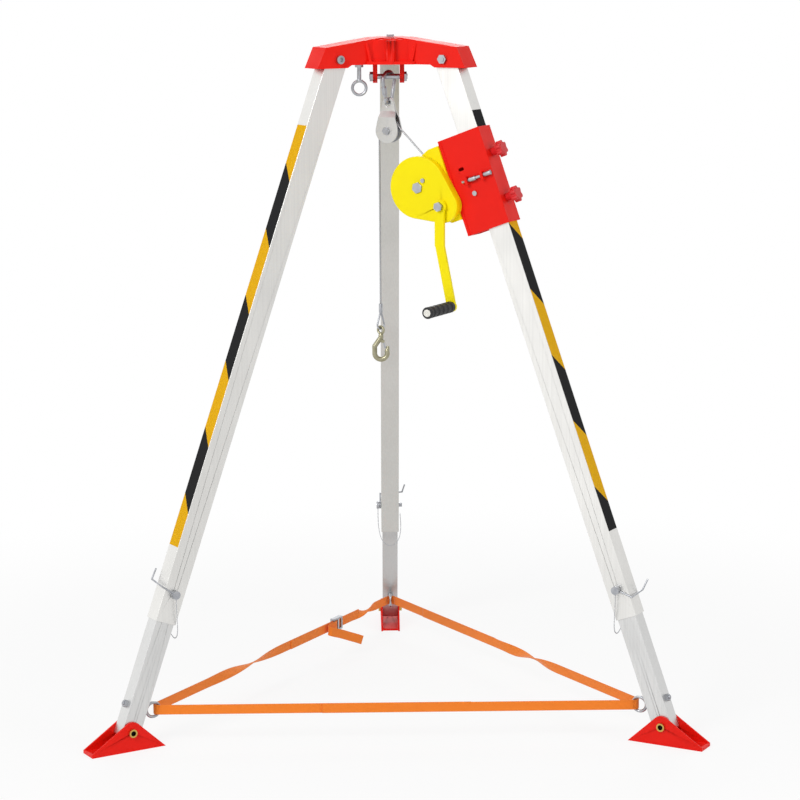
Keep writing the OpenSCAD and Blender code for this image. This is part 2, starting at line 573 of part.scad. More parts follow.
module winch_bolts() color([0.74, 0.74, 0.76]) at_drum() {
  translate([drum_n, 0, drum_s]) for (b = base_bolts) {
    xcyl(b[0], -b[1], 4, brk_base - 9, brk_base + 13);
    xhex(b[0], -b[1], 13, brk_base - 10.5, brk_base - 5.25);
    xhex(b[0], -b[1], 13, brk_base + 6.05, brk_base + 12);
  }
  translate([drum_n, 0, drum_s]) {
    ycyl(stud[0], -stud[1], 3, -brk_out - 4, -brk_in - 1);
    ycyl(stud[0], -stud[1], 6.5, -brk_out - 4.5, -brk_out - 0.05);
  }
  translate([22, 0, 13]) {
    ycyl(0, 0, 3, -68, -64.05);
    yhex(0, 0, 11, -68, -64.05);
  }
}
module drum_axle() color([0.72, 0.72, 0.74]) at_drum() {
  ycyl(0, 0, 10, -66, 58);
  yhex(0, 0, 26, -68.5, -64.05);
  yhex(0, 0, 26, 51.05, 58);
}
module drum() color([0.62, 0.62, 0.64]) at_drum() difference() {
  union() {
    ycyl(0, 0, 30, -33, 42);
    ycyl(0, 0, drum_flange, -33.5, -30.5);
    ycyl(0, 0, drum_flange, 39, 42);
    ycyl(0, 0, 16, -46, -30);
  }
  ycyl(0, 0, 10.07, -60, 60);
}

// Involute teeth, thinned for backlash
press = 25;
function inv_deg(a) = tan(a)*180/PI - a;
function tooth_half(z, r) = let(rp = gear_m*z/2, rb = rp*cos(press))
  90/z - 0.1/rp*180/PI + inv_deg(press) - inv_deg(acos(min(1, rb/r)));
function gear_pts(z, turn) = let(rp = gear_m*z/2, rb = rp*cos(press), ra = rp + 0.8*gear_m, rf = rp - 1.1*gear_m,
    r0 = max(rb, rf), rs = [for (k = [0:4]) r0 + (ra - r0)*k/4])
  [for (i = [0:z - 1]) let(c = turn + 360*i/z) each concat(
    [let(h = tooth_half(z, r0)) rf*[cos(c - h), sin(c - h)]],
    [for (r = rs) let(h = tooth_half(z, r)) r*[cos(c - h), sin(c - h)]],
    [for (k = [4:-1:0]) let(r = rs[k], h = tooth_half(z, r)) r*[cos(c + h), sin(c + h)]],
    [let(h = tooth_half(z, r0)) rf*[cos(c + h), sin(c + h)]])];
module drum_gear() color([0.5, 0.5, 0.52]) at_drum() difference() {
  slab(-56.5, -46.05) polygon(gear_pts(gear_z, -crank_dir));
  ycyl(0, 0, 10.07, -70, -30);
  for (k = [0:5]) ycyl(38*cos(60*k), 38*sin(60*k), 12, -70, -30);
}
module pinion_shaft() color([0.66, 0.66, 0.68]) at_crank() {
  ycyl(0, 0, 8, -83.5, 56);
  slab(-57, -45.5) polygon(gear_pts(pinion_z, 180 - crank_dir + 180/pinion_z));
  ycyl(0, 0, 12, 51.1, 54);
}
ratchet_r = 21;
module ratchet_wheel() color([0.55, 0.55, 0.57]) at_crank() difference() {
  slab(-30, -20) polygon([for (k = [0:11]) each [ratchet_r*[cos(30*k), sin(30*k)], 16.5*[cos(30*k + 1), sin(30*k + 1)]]]);
  ycyl(0, 0, 8.07, -40, 0);
}
pawl_p = [-22, -33];
pawl_tip = 18.8*[cos(-93), sin(-93)];
module pawl() color([0.6, 0.6, 0.62]) at_crank() {
  ycyl(pawl_p[0], pawl_p[1], 6, -35.9, -20);
  slab(-29, -21) polygon([pawl_p + [2, -5.6], pawl_p + [1, 5.8], pawl_tip + [-2.6, 0.4], pawl_tip + [-0.4, -3.4]]);
}

// Rope wound on the drum: an outer layer of turns over a plain core
wind_pitch = 5.5;
wind_turns = 11;
wind_y0 = -25;
wind_steps = 24;
function wind_at(i) = let(a = -360*i/wind_steps) [wind_r*cos(a), wind_y0 + wind_pitch*i/wind_steps, wind_r*sin(a)];
function wind_tan(i) = let(d = wind_at(i + 0.5) - wind_at(i - 0.5)) d/norm(d);
wind_n = wind_turns*wind_steps;
// each end runs straight for one rope diameter
wind_pts = concat([wind_at(0) - rope_d*wind_tan(0)], [for (i = [0:wind_n]) wind_at(i)],
  [wind_at(wind_n) + rope_d*wind_tan(wind_n)]);
wind_gap = min([for (i = [0:wind_n - wind_steps]) min([for (j = [-3:3])
  i + wind_steps + j > wind_n ? 99 : norm(wind_at(i + wind_steps + j) - wind_at(i))])]) - rope_d;
echo("winding least self-gap", wind_gap);
module rope_winding() color([0.45, 0.45, 0.46]) at_drum() {
  difference() {
    ycyl(0, 0, wind_r - rope_d/2 - 0.1, -30.3, 38.8);
    ycyl(0, 0, 30.05, -40, 50);
  }
  sides = 7;
  n = len(wind_pts);
  pts = [for (i = [0:n - 1]) let(j = max(0, min(wind_n, i - 1)), t = wind_tan(j), c = wind_at(j),
      u = [c[0], 0, c[2]]/wind_r, b = cross(t, u)) for (k = [0:sides - 1]) let(a = 360*k/sides)
    wind_pts[i] + rope_d/2*(cos(a)*u + sin(a)*b)];
  walls = [for (i = [0:n - 2]) for (k = [0:sides - 1]) let(k1 = (k + 1)%sides)
    each [[i*sides + k, (i + 1)*sides + k1, i*sides + k1], [i*sides + k, (i + 1)*sides + k, (i + 1)*sides + k1]]];
  ends = [[for (k = [0:sides - 1]) k], [for (k = [0:sides - 1]) (n - 1)*sides + sides - 1 - k]];
  polyhedron(points = pts, faces = concat(walls, ends), convexity = 12);
}

// Crank: straight down first, then bent a little outward
crank_d1 = [-sa, -ca];
crank_d2 = [-sin(leg_angle - 12), -cos(leg_angle - 12)];
crank_e1 = crank_a*crank_d1;
crank_e2 = crank_e1 + crank_b*crank_d2;
module crank_arm() color([0.97, 0.88, 0.08]) at_crank() {
  difference() {
    union() {
      slab(-77, -69) {
        circle(r = 17);
        strip2d([0, 0], crank_e1, 27);
        translate(crank_e1) circle(r = 13.5);
        strip2d(crank_e1, crank_e2, 25);
        translate(crank_e2) circle(r = 14);
      }
      ycyl(0, 0, 13, -78, -65);
    }
    ycyl(0, 0, 8.03, -90, -50);
  }
  ycyl(crank_e2[0], crank_e2[1], 6, -77.5 - grip_len + 5, -77);
}
module crank_nut() color([0.74, 0.74, 0.76]) at_crank() difference() {
  yhex(0, 0, 22, -87, -78.05);
  ycyl(0, 0, 8.02, -84, -70);
}
module handle_grip() color([0.08, 0.08, 0.09]) at_crank() translate([crank_e2[0], 0, crank_e2[1]]) difference() {
  union() {
    ycyl(0, 0, 14, -77.5 - grip_len + 0.5, -77.5);
    for (k = [0:4]) ycyl(0, 0, 15, -95 - 24*k, -82 - 24*k);
    ycyl(0, 0, 15.4, -77.5 - grip_len, -77.5 - grip_len + 7);
  }
  ycyl(0, 0, 6.07, -300, 0);
}
module grip_cap() color([0.92, 0.92, 0.9]) at_crank() translate([crank_e2[0], 0, crank_e2[1]]) {
  ycyl(0, 0, 9.5, -77.5 - grip_len - 2.5, -77.5 - grip_len - 0.05);
  ycyl(0, 0, 5.8, -77.5 - grip_len - 1, -77.5 - grip_len + 4);
}

head_casting();
head_bolts();
anchor_bolt();
eye_bolt();
carabiner();
carabiner_gate();
pulley_cheeks();
sheave_axle();
sheave();
rope_span();
rope_fall();
rope_end();
hook();
hook_latch();
upper_tube(0);  // upper_tube_left
upper_tube(1);  // upper_tube_right
upper_tube(2);  // upper_tube_back
lower_tube(0);  // lower_tube_left
lower_tube(1);  // lower_tube_right
lower_tube(2);  // lower_tube_back
lock_pin(0);  // lock_pin_left
lock_pin(1);  // lock_pin_right
lock_pin(2);  // lock_pin_back
pin_bail(0);  // pin_bail_left
pin_bail(1);  // pin_bail_right
pin_bail(2);  // pin_bail_back
lanyard(0);  // lanyard_left
lanyard(1);  // lanyard_right
lanyard(2);  // lanyard_back
strap_eye(0);  // strap_eye_left
strap_eye(1);  // strap_eye_right
strap_eye(2);  // strap_eye_back
strap(0);  // strap_left
strap(1);  // strap_right
strap(2);  // strap_back
strap_buckle();
foot(0);  // foot_left
foot(1);  // foot_right
foot(2);  // foot_back
foot_bolt(0);  // foot_bolt_left
foot_bolt(1);  // foot_bolt_right
foot_bolt(2);  // foot_bolt_back
winch_bracket();
clamp_knob(knob_s[0]);  // clamp_knob_upper
clamp_knob(knob_s[1]);  // clamp_knob_lower
plunger();
winch_frame();
gear_cover();
winch_bolts();
drum_axle();
drum();
drum_gear();
rope_winding();
pinion_shaft();
ratchet_wheel();
pawl();
crank_arm();
crank_nut();
handle_grip();
grip_cap();
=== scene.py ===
# rescue tripod with hand winch: finishes, rope, chains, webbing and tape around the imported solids
# metres, +Z up, front is -Y; sizes in the dictionaries are millimetres
import json
import math

import bpy
import numpy as np
from mathutils import Matrix


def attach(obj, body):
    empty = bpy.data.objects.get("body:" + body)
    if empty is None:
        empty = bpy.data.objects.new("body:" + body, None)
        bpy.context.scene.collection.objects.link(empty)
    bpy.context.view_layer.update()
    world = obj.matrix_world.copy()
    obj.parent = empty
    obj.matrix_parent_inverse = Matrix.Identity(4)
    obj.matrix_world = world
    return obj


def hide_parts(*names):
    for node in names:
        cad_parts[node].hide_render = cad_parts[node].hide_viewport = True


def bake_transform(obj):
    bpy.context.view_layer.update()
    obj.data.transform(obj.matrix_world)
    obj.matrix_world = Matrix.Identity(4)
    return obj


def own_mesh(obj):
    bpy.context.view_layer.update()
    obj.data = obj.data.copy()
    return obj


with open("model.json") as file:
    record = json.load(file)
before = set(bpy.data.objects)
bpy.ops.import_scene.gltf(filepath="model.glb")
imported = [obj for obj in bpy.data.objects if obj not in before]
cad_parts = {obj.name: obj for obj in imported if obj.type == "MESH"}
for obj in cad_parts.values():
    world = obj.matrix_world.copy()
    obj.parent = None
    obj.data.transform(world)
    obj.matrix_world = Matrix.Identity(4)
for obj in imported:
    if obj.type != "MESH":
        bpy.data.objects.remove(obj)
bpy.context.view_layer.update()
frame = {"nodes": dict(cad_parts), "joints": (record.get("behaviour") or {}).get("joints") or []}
nodes = frame["nodes"]
joints = {j["name"]: j for j in frame["joints"]}
legs = ["left", "right", "back"]
mm = 0.001
zUp = np.array([0.0, 0.0, 1.0])


def placeOf(joint):
    return np.array(joints[joint]["pos_m"])


def axisOf(joint):
    return np.array(joints[joint]["axis"])


def unit(v):
    return v / np.linalg.norm(v, axis=-1, keepdims=True)


# leg sizes in mm to points in metres: out from the leg, across it, and down along it from the head pin
def onLeg(leg, out, across, down):
    out, across, down = np.broadcast_arrays(*[np.asarray(x, float) * mm for x in (out, across, down)])
    side, along = axisOf("fold_" + leg), axisOf("extend_" + leg)
    return (placeOf("fold_" + leg) + out[..., None] * np.cross(along, side) + across[..., None] * side
            + down[..., None] * along)


# level direction from the tripod axis through a leg
def outward(leg):
    side = axisOf("fold_" + leg)
    return np.array([side[1], -side[0], 0.0])


tripodAxis = (placeOf("fold_left") + placeOf("fold_right") + placeOf("fold_back")) / 3

# camera: lens and stand matched to the photo's perspective
cameraSet = dict(lens=115.4, sensor=36.0, x=-0.103, y=-6.828, z=2.079, yaw=0.018, pitch=0.179, roll=-0.006,
                 clipNear=0.1, clipFar=100.0)


def makeCamera(c):
    # forward turns right by yaw and down by pitch; right is level, then both turn by roll
    forward = np.array([math.sin(c["yaw"]) * math.cos(c["pitch"]), math.cos(c["yaw"]) * math.cos(c["pitch"]),
                        -math.sin(c["pitch"])])
    level = np.array([math.cos(c["yaw"]), -math.sin(c["yaw"]), 0.0])
    top = np.cross(level, forward)
    right = math.cos(c["roll"]) * level + math.sin(c["roll"]) * top
    up = -math.sin(c["roll"]) * level + math.cos(c["roll"]) * top
    data = bpy.data.cameras.new("camera")
    data.lens, data.sensor_width = c["lens"], c["sensor"]
    data.clip_start, data.clip_end = c["clipNear"], c["clipFar"]
    camera = bpy.data.objects.new("camera", data)
    bpy.context.scene.collection.objects.link(camera)
    place = [c["x"] + tripodAxis[0], c["y"] + tripodAxis[1], c["z"]]
    camera.matrix_world = Matrix([[right[i], up[i], -forward[i], place[i]] for i in range(3)] + [[0, 0, 0, 1]])
    bpy.context.scene.camera = camera


makeCamera(cameraSet)
print("camera set")


# a closed skin over a grid of points: rows run along the piece, columns go round it, and the two ends are capped
def skin(name, grid, along, round_, material, smooth=True):
    n, m = grid.shape[:2]
    i, j = np.meshgrid(np.arange(n - 1), np.arange(m), indexing="ij")
    k = (j + 1) % m
    quads = np.stack([i * m + j, i * m + k, (i + 1) * m + k, (i + 1) * m + j], -1).reshape(-1, 4)
    uv = np.stack([np.stack([along[i], round_[j]], -1), np.stack([along[i], round_[j + 1]], -1),
                   np.stack([along[i + 1], round_[j + 1]], -1), np.stack([along[i + 1], round_[j]], -1)], 2)
    uv = uv.reshape(-1, 4, 2)
    points = grid.reshape(-1, 3)
    first, last = np.arange(m)[::-1], (n - 1) * m + np.arange(m)
    # signed volume by the divergence theorem tells whether the faces look inwards
    a, b, c, d = [points[quads[:, q]] - points[0] for q in range(4)]
    if np.sum(np.cross(a, b) * c + np.cross(a, c) * d) < 0:
        quads, uv, first, last = quads[:, ::-1], uv[:, ::-1], first[::-1], last[::-1]
    mesh = bpy.data.meshes.new(name)
    mesh.from_pydata(points.tolist(), [], quads.tolist() + [first.tolist(), last.tolist()])
    layer = mesh.uv_layers.new(name="along")
    ends = np.zeros((2 * m, 2))
    layer.data.foreach_set("uv", np.concatenate([uv.reshape(-1, 2), ends]).astype(np.float32).ravel())
    mesh.polygons.foreach_set("use_smooth", np.array([smooth] * len(quads) + [False] * 2))
    mesh.materials.append(material)
    piece = bpy.data.objects.new(name, mesh)
    bpy.context.scene.collection.objects.link(piece)
    return piece


# a profile carried along a path: side = tangent x reference, up = side x tangent, and twist turns the profile
def carry(path, reference, profile, twist=0.0):
    tangent = unit(np.gradient(path, axis=0))
    side = unit(np.cross(tangent, reference))
    up = np.cross(side, tangent)
    twist = np.broadcast_to(np.asarray(twist, float), len(path))[:, None]
    x, y = profile[..., 0], profile[..., 1]
    a = x * np.cos(twist) - y * np.sin(twist)
    b = x * np.sin(twist) + y * np.cos(twist)
    return path[:, None] + a[..., None] * side[:, None] + b[..., None] * up[:, None]


def lengthAlong(path):
    return np.concatenate([[0.0], np.cumsum(np.linalg.norm(np.diff(path, axis=0), axis=1))])


# a line of points cut into even steps along its length
def evenSteps(points, step):
    s = lengthAlong(points)
    even = np.linspace(0, s[-1], int(math.ceil(s[-1] / step)) + 1)
    return np.stack([np.interp(even, s, points[:, axis]) for axis in range(3)], 1)


# a smooth curve through given points (cubic Hermite, slopes from the neighbours), cut into even steps
def smoothPath(points, step, samples=40):
    p = np.asarray(points, float)
    slope = np.gradient(p, axis=0)
    k = np.linspace(0, len(p) - 1, samples * len(p))
    i = np.minimum(k.astype(int), len(p) - 2)
    f = (k - i)[:, None]
    dense = ((2 * f**3 - 3 * f**2 + 1) * p[i] + (f**3 - 2 * f**2 + f) * slope[i]
             + (3 * f**2 - 2 * f**3) * p[i + 1] + (f**3 - f**2) * slope[i + 1])
    return evenSteps(dense, step)


def turn(count):
    return np.linspace(0, 2 * math.pi, count, endpoint=False)


# sRGB hex to linear colour
def hexColor(text):
    c = np.array([int(text[i:i + 2], 16) for i in (1, 3, 5)]) / 255
    linear = np.where(c <= 0.04045, c / 12.92, ((c + 0.055) / 1.055) ** 2.4)
    return (*linear.tolist(), 1.0)


# adds one node: settings are its own fields, inputs are values or the sockets to link
def addNode(tree, kind, inputs=None, **settings):
    node = tree.nodes.new(kind)
    for field, value in settings.items():
        setattr(node, field, value)
    for key, value in (inputs or {}).items():
        if isinstance(value, bpy.types.NodeSocket):
            tree.links.new(value, node.inputs[key])
        else:
            node.inputs[key].default_value = value
    return node


# noise on the part's own coordinates, with features of a size in mm
def noiseOf(tree, size, detail):
    place = addNode(tree, "ShaderNodeTexCoord").outputs["Object"]
    noise = addNode(tree, "ShaderNodeTexNoise", {"Vector": place, "Scale": 1 / (size * mm), "Detail": detail})
    return noise.outputs["Fac"]


def calc(tree, operation, *values):
    return addNode(tree, "ShaderNodeMath", dict(enumerate(values)), operation=operation).outputs[0]


# low to high becomes newLow to newHigh
def remap(tree, value, low, high, newLow=0.0, newHigh=1.0):
    return addNode(tree, "ShaderNodeMapRange", {0: value, 1: low, 2: high, 3: newLow, 4: newHigh}).outputs[0]


def mixValue(tree, share, first, second):
    return addNode(tree, "ShaderNodeMix", {0: share, 2: first, 3: second}).outputs[0]


# from the first colour to the second; each is a hex text or a socket
def mixColor(tree, share, first, second):
    first, second = [hexColor(color) if isinstance(color, str) else color for color in (first, second)]
    return addNode(tree, "ShaderNodeMix", {0: share, 6: first, 7: second}, data_type="RGBA").outputs[2]


# relief of a depth in mm
def relief(tree, height, strength, depth):
    bump = addNode(tree, "ShaderNodeBump", {"Height": height, "Strength": strength, "Distance": depth * mm})
    return bump.outputs["Normal"]


# lengths along a skin and round it, from its UV map
def skinLengths(tree):
    lay = addNode(tree, "ShaderNodeUVMap", uv_map="along").outputs[0]
    parts = addNode(tree, "ShaderNodeSeparateXYZ", {0: lay})
    return lay, parts.outputs[0], parts.outputs[1]


# a new material with its shader; constant sockets are set here
def startMaterial(name, **sockets):
    material = bpy.data.materials.new(name)
    material.use_nodes = True
    tree = material.node_tree
    shader = tree.nodes["Principled BSDF"]
    for key, value in sockets.items():
        shader.inputs[key.replace("_", " ")].default_value = value
    return material, tree, shader


def linkShader(tree, shader, **patterns):
    for key, pattern in patterns.items():
        tree.links.new(pattern, shader.inputs[key.replace("_", " ")])


# most of a noise lies in this range
noiseLow, noiseHigh = 0.3, 0.7

# powder coat over cast or folded metal: satin, with a fine orange peel and slight uneven tone
coat = dict(cloud=60.0, peelStrength=0.35, smoother=0.05, rougher=0.06)


def powderCoat(name, color, darker, peelSize, peelHeight, roughness):
    material, tree, shader = startMaterial(name, IOR=1.5, Specular_IOR_Level=0.2)
    cloud = noiseOf(tree, coat["cloud"], 3.0)
    gloss = remap(tree, cloud, noiseLow, noiseHigh, roughness - coat["smoother"], roughness + coat["rougher"])
    linkShader(tree, shader, Base_Color=mixColor(tree, cloud, color, darker), Roughness=gloss,
               Normal=relief(tree, noiseOf(tree, peelSize, 2.0), coat["peelStrength"], peelHeight))
    return material


redCast = powderCoat("redPowderCoatOnCasting", "#F71D0E", "#EC190C", 2.2, 0.12, 0.45)
redSheet = powderCoat("redPowderCoatOnSteel", "#F41C0E", "#E8180B", 1.4, 0.06, 0.42)
yellowSheet = powderCoat("yellowPowderCoat", "#FFEE00", "#FBE600", 1.4, 0.06, 0.42)

# anodised extrusion: satin metal with die lines along the leg; lines are drawn 3 mm wide so that they show
extrusion = dict(lineWidth=3.0, lineLength=900.0, lineDepth=0.02, lineStrength=0.2, cloud=150.0,
                 sumLow=0.7, sumHigh=1.3, smooth=0.36, rough=0.46)


def anodisedTube(name, leg, color, lighter):
    material, tree, shader = startMaterial(name, Metallic=1.0)
    place = addNode(tree, "ShaderNodeTexCoord").outputs["Object"]
    side, along = axisOf("fold_" + leg), axisOf("extend_" + leg)
    turned = Matrix([np.cross(along, side), side, -along]).to_euler()
    across, down = 1 / (extrusion["lineWidth"] * mm), 1 / (extrusion["lineLength"] * mm)
    local = addNode(tree, "ShaderNodeMapping", {"Vector": place, "Rotation": turned,
                                                "Scale": (across, across, down)})
    dieLines = addNode(tree, "ShaderNodeTexNoise", {"Vector": local.outputs[0], "Scale": 1.0, "Detail": 2.0})
    dieLines = dieLines.outputs["Fac"]
    both = calc(tree, "ADD", dieLines, noiseOf(tree, extrusion["cloud"], 2.0))
    tone = remap(tree, both, extrusion["sumLow"], extrusion["sumHigh"])
    gloss = remap(tree, both, extrusion["sumLow"], extrusion["sumHigh"], extrusion["smooth"], extrusion["rough"])
    linkShader(tree, shader, Base_Color=mixColor(tree, tone, color, lighter), Roughness=gloss,
               Normal=relief(tree, dieLines, extrusion["lineStrength"], extrusion["lineDepth"]))
    return material


# bright metal parts: plating blotches a few millimetres wide, with light scuffs in the roughness
plating = dict(fine=0.8, fineDepth=0.02, fineStrength=0.15, blotchLow=0.35, blotchHigh=0.65,
               smoother=0.06, rougher=0.1)


def platedSteel(name, color, other, blotch, roughness):
    material, tree, shader = startMaterial(name, Metallic=1.0)
    cloud = noiseOf(tree, blotch, 4.0)
    tone = remap(tree, cloud, plating["blotchLow"], plating["blotchHigh"])
    gloss = remap(tree, cloud, noiseLow, noiseHigh,
                  roughness - plating["smoother"], roughness + plating["rougher"])
    fine = noiseOf(tree, plating["fine"], 2.0)
    linkShader(tree, shader, Base_Color=mixColor(tree, tone, color, other), Roughness=gloss,
               Normal=relief(tree, fine, plating["fineStrength"], plating["fineDepth"]))
    return material


zincSteel = platedSteel("zincPlatedSteel", "#B4B6BA", "#A2A4A9", 16, 0.34)
yellowZinc = platedSteel("yellowZincForging", "#A8A48C", "#938F76", 14, 0.34)
stainlessSheet = platedSteel("stainlessSheet", "#D2D1CF", "#C2C2C0", 18, 0.36)
machinedSteel = platedSteel("oiledMachinedSteel", "#8E9094", "#77797D", 6, 0.36)

# gold passivated bolt with painted shade in its socket: dark where |(place - centre) x axis| is less than the
# radius
socket = dict(radius=6.9, inside="#1A1512", head="#C9A95C")


def socketBolt(name, joint):
    material, tree, shader = startMaterial(name, Metallic=1.0, Roughness=0.34)
    place = addNode(tree, "ShaderNodeTexCoord").outputs["Object"]
    centred = addNode(tree, "ShaderNodeVectorMath", {0: place, 1: placeOf(joint)}, operation="SUBTRACT")
    crossed = addNode(tree, "ShaderNodeVectorMath", {0: centred.outputs[0], 1: axisOf(joint)},
                      operation="CROSS_PRODUCT")
    distance = addNode(tree, "ShaderNodeVectorMath", {0: crossed.outputs[0]}, operation="LENGTH")
    # the socket recess is painted dark as its shade, and the rest of the head shows gold
    clearOfSocketShade = calc(tree, "GREATER_THAN", distance.outputs["Value"], socket["radius"] * mm)
    linkShader(tree, shader, Base_Color=mixColor(tree, clearOfSocketShade, socket["inside"], socket["head"]))
    return material


# moulded plastic: low gloss with a fine grain
moulding = dict(grainDepth=0.05, grainStrength=0.3, smoother=0.05, rougher=0.08)


def mouldedPlastic(name, color, roughness, grain):
    material, tree, shader = startMaterial(name, Base_Color=hexColor(color), IOR=1.49)
    noise = noiseOf(tree, grain, 2.0)
    gloss = remap(tree, noise, noiseLow, noiseHigh,
                  roughness - moulding["smoother"], roughness + moulding["rougher"])
    linkShader(tree, shader, Roughness=gloss,
               Normal=relief(tree, noise, moulding["grainStrength"], moulding["grainDepth"]))
    return material


redKnob = mouldedPlastic("redMouldedNylon", "#D81F24", 0.4, 0.8)
blackGrip = mouldedPlastic("blackMouldedRubber", "#17171A", 0.55, 0.9)
whiteCap = mouldedPlastic("whiteMouldedPlastic", "#ECEAE2", 0.45, 0.9)

# galvanised wire rope: the mesh has the strands, this adds the wires of each strand, 1 mm wide so that they show
wires = dict(width=1.0, around=36.0, depth=0.2, strength=0.4)


def wireRope(name, color, groove):
    material, tree, shader = startMaterial(name, Metallic=1.0, Roughness=0.42)
    _, along, around = skinLengths(tree)
    slant = calc(tree, "MULTIPLY", along, 1 / (wires["width"] * mm))
    wave = calc(tree, "PINGPONG", calc(tree, "MULTIPLY_ADD", around, wires["around"], slant), 1.0)
    linkShader(tree, shader, Base_Color=mixColor(tree, wave, groove, color),
               Normal=relief(tree, wave, wires["strength"], wires["depth"]))
    return material


ropeSteel = wireRope("galvanisedWireRope", "#C6C7C8", "#85868A")

# woven polyester webbing: height = sin(rib) sin(pick), ribs 1.6 mm apart run along the strap and picks 2.2 mm apart
# cross them, both coarse enough to show
weave = dict(rib=1.6, pick=2.2, depth=0.25, strength=0.5, cloud=45.0)


def wovenWebbing(name, color, shade, edge):
    material, tree, shader = startMaterial(name, Roughness=0.82, Specular_IOR_Level=0.25, Sheen_Weight=0.25,
                                           Sheen_Roughness=0.5)
    _, along, around = skinLengths(tree)
    rib = calc(tree, "SINE", calc(tree, "MULTIPLY", around, 2 * math.pi / (weave["rib"] * mm)))
    pick = calc(tree, "SINE", calc(tree, "MULTIPLY", along, 2 * math.pi / (weave["pick"] * mm)))
    height = remap(tree, calc(tree, "MULTIPLY", rib, pick), -1.0, 1.0)
    base = mixColor(tree, noiseOf(tree, weave["cloud"], 3.0), color, edge)
    linkShader(tree, shader, Base_Color=mixColor(tree, height, shade, base),
               Normal=relief(tree, height, weave["strength"], weave["depth"]))
    return material


orangeWebbing = wovenWebbing("orangePolyesterWebbing", "#FF9436", "#F67C1E", "#FF8C2C")

# hazard tape: vinyl film in slanted bands, with the fine cells of a reflective sheet
film = dict(cell=4.0, seam=0.12, seamDepth=0.02, seamStrength=0.1, yellow="#F0B80A", seamYellow="#DFA306",
            black="#0E0E10")


def hazardTape(name, bandLength, slope, firstBand):
    material, tree, shader = startMaterial(name, Roughness=0.55, Specular_IOR_Level=0.08)
    flat, along, across = skinLengths(tree)
    slanted = calc(tree, "MULTIPLY_ADD", across, slope, along)
    band = calc(tree, "MULTIPLY_ADD", slanted, 1 / (2 * bandLength * mm), firstBand)
    black = calc(tree, "GREATER_THAN", calc(tree, "FRACT", band), 0.5)
    cells = addNode(tree, "ShaderNodeTexVoronoi", {"Vector": flat, "Scale": 1 / (film["cell"] * mm)},
                    feature="DISTANCE_TO_EDGE")
    inCell = remap(tree, cells.outputs["Distance"], 0.0, film["seam"])
    yellow = mixColor(tree, inCell, film["seamYellow"], film["yellow"])
    linkShader(tree, shader, Base_Color=mixColor(tree, black, yellow, film["black"]),
               Normal=relief(tree, inCell, film["seamStrength"], film["seamDepth"]))
    return material


print("materials made")

# wire rope: six strands round a core, turned along the rope
rope = dict(diameter=5.0, strands=6, groove=0.84, sides=24, lay=34.0, step=2.2, drumRadius=46.4, sheaveRadius=29.0,
            drumStart=-95.0, drumSteps=40, sheaveSteps=30, fallTop=193.25, fallEnd=658.95, windRadius=41.0,
            windPitch=5.5, windTurns=11, windStart=-25.0, windSteps=72)


# round lobes, one for each strand: radius = groove + (1 - groove) |cos(strands a / 2)|
def strandProfile(radius, strands, sides, groove):
    angle = turn(sides)
    r = radius * (groove + (1 - groove) * np.abs(np.cos(strands / 2 * angle)))
    return np.stack([r * np.cos(angle), r * np.sin(angle)], -1)[None]


def ropePiece(name, path, reference):
    s = lengthAlong(path)
    profile = strandProfile(rope["diameter"] / 2 * mm, rope["strands"], rope["sides"], rope["groove"])
    grid = carry(path, reference, profile, 2 * math.pi * s / (rope["lay"] * mm))
    return skin(name, grid, s, np.linspace(0, 1, rope["sides"] + 1), ropeSteel)


rightOut, rightSide = outward("right"), axisOf("fold_right")
drumCentre, sheaveCentre = placeOf("drum_turn"), placeOf("sheave_turn")


# points on a circle in the plane of the right leg, by their angle up from outward
def inRightPlane(centre, radius, angle):
    angle = np.asarray(angle)[..., None]
    return centre + radius * mm * (np.cos(angle) * rightOut + np.sin(angle) * zUp)


# the rope leaves the drum and meets the sheave on the line that touches both circles
between = drumCentre - sheaveCentre
apart = np.linalg.norm(between)
lean = -(rope["drumRadius"] - rope["sheaveRadius"]) * mm / apart
touchAngle = math.atan2(between @ zUp, between @ rightOut) + math.acos(lean)
drumAngle = np.linspace(math.radians(rope["drumStart"]), touchAngle, rope["drumSteps"])
sheaveAngle = np.linspace(touchAngle, math.pi, rope["sheaveSteps"])
onDrum = inRightPlane(drumCentre, rope["drumRadius"], drumAngle)
onSheave = inRightPlane(sheaveCentre, rope["sheaveRadius"], sheaveAngle)
spanPath = evenSteps(np.concatenate([onDrum, onSheave]), rope["step"] * mm)
ropeSpan = ropePiece("rope_to_pulley", spanPath, rightSide)
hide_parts("rope_span")
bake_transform(ropeSpan)

fallX = sheaveCentre - rope["sheaveRadius"] * mm * rightOut
pinHeight = tripodAxis[2]
fallTop, fallEnd = pinHeight - rope["fallTop"] * mm, pinHeight - rope["fallEnd"] * mm
fallZ = np.linspace(fallTop, fallEnd, int((fallTop - fallEnd) / (rope["step"] * mm)))
fallPath = np.stack([np.full(len(fallZ), fallX[0]), np.full(len(fallZ), fallX[1]), fallZ], 1)
ropeFall = ropePiece("rope_to_hook", fallPath, rightSide)
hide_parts("rope_fall")
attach(ropeFall, "head")
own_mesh(ropeFall)

# the wound layer: a helix about the drum axle, radius and pitch as on the drum
windAngle = -np.linspace(0, 2 * math.pi * rope["windTurns"], rope["windTurns"] * rope["windSteps"] + 1)
windAcross = (rope["windStart"] - rope["windPitch"] * windAngle / (2 * math.pi)) * mm
windX, windZ = axisOf("extend_right"), axisOf("drum_turn")
windOut = np.cross(windX, windZ)
radial = np.cos(windAngle)[:, None] * windOut - np.sin(windAngle)[:, None] * windX
windPath = drumCentre + rope["windRadius"] * mm * radial + windAcross[:, None] * windZ
ropeCoil = ropePiece("rope_on_drum", windPath, windZ)
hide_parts("rope_winding")
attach(ropeCoil, "drum")
print("rope made, coil", round(lengthAlong(windPath)[-1], 2), "m")

